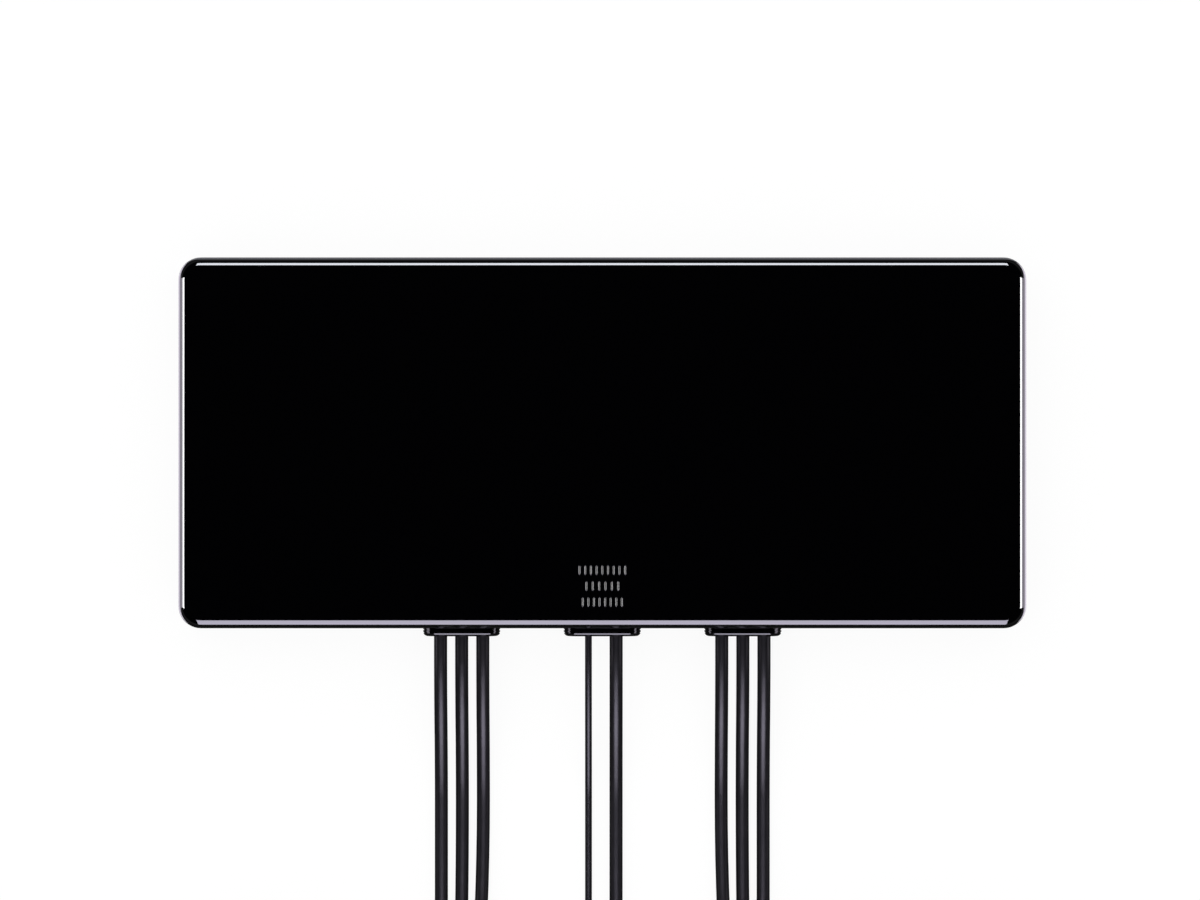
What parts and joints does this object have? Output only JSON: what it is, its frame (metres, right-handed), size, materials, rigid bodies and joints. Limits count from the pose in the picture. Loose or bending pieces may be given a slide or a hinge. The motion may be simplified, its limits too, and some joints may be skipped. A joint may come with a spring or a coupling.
{
  "type": "flat-mount combination antenna",
  "caption": "Low rounded black antenna housing that lies on a flat roof or panel, with coaxial leads leaving ribbed glands on one side, wound in tied coils with moulded connectors.",
  "frame": {"origin": "middle of the mounting face, on the surface that the foam pads stick to", "axes": "+X along the long side, to the right as seen from the front; +Y away from the glands; +Z out of the mounting surface, through the face"},
  "size_m": [0.365, 0.427, 0.028],
  "materials": {
    "cover_plastic": "high-gloss black moulded plastic",
    "base_plastic": "fine-textured black moulded plastic",
    "seal_rubber": "matt black rubber",
    "pad_foam": "dark grey closed-cell adhesive foam",
    "insert_brass": "turned brass",
    "vent_plastic": "grey moulded plastic",
    "screw_steel": "zinc-plated steel",
    "plane_aluminium": "mill-finish aluminium sheet",
    "element_brass": "stamped brass sheet",
    "board_laminate": "green circuit-board laminate",
    "patch_ceramic": "unglazed pale ceramic",
    "shield_tinplate": "tin-plated steel",
    "gland_rubber": "glossy black moulded rubber",
    "lead_jacket": "satin black cable jacket",
    "tie_fabric": "black hook-and-loop strap",
    "connector_claret": "claret moulded plastic",
    "connector_beige": "beige moulded plastic",
    "connector_blue": "blue moulded plastic"
  },
  "bodies": {
    "root": {"top_cover": "cover_plastic", "base_plate": "base_plastic", "cover_seal": "seal_rubber", "mounting_pads": "pad_foam", "mount_inserts": "insert_brass", "vent_plug": "vent_plastic", "cover_screws": "screw_steel", "ground_plane": "plane_aluminium", "plane_screws": "screw_steel", "cell_element_1": "element_brass", "cell_element_2": "element_brass", "cell_element_3": "element_brass", "cell_element_4": "element_brass", "wifi_element_1": "board_laminate", "wifi_element_2": "board_laminate", "wifi_element_3": "board_laminate", "gnss_board": "board_laminate", "gnss_patch": "patch_ceramic", "gnss_shield": "shield_tinplate", "gnss_standoffs": "insert_brass", "gnss_screws": "screw_steel", "left_gland": "gland_rubber", "middle_gland": "gland_rubber", "right_gland": "gland_rubber", "left_lead_clamp": "base_plastic", "middle_lead_clamp": "base_plastic", "right_lead_clamp": "base_plastic", "clamp_screws": "screw_steel", "left_inner_leads": "lead_jacket", "middle_inner_leads": "lead_jacket", "right_inner_leads": "lead_jacket", "cell_lead_1": "lead_jacket", "cell_lead_2": "lead_jacket", "wifi_lead_1": "lead_jacket", "gnss_lead": "lead_jacket", "wifi_lead_2": "lead_jacket", "wifi_lead_3": "lead_jacket", "cell_lead_3": "lead_jacket", "cell_lead_4": "lead_jacket", "left_coil": "lead_jacket", "middle_coil": "lead_jacket", "right_coil": "lead_jacket", "left_coil_ties": "tie_fabric", "middle_coil_ties": "tie_fabric", "right_coil_ties": "tie_fabric", "cell_connector_1": "connector_claret", "cell_connector_2": "connector_claret", "wifi_connector_1": "connector_beige", "gnss_connector": "connector_blue", "wifi_connector_2": "connector_beige", "wifi_connector_3": "connector_beige", "cell_connector_3": "connector_claret", "cell_connector_4": "connector_claret"}
  },
  "joints": []
}
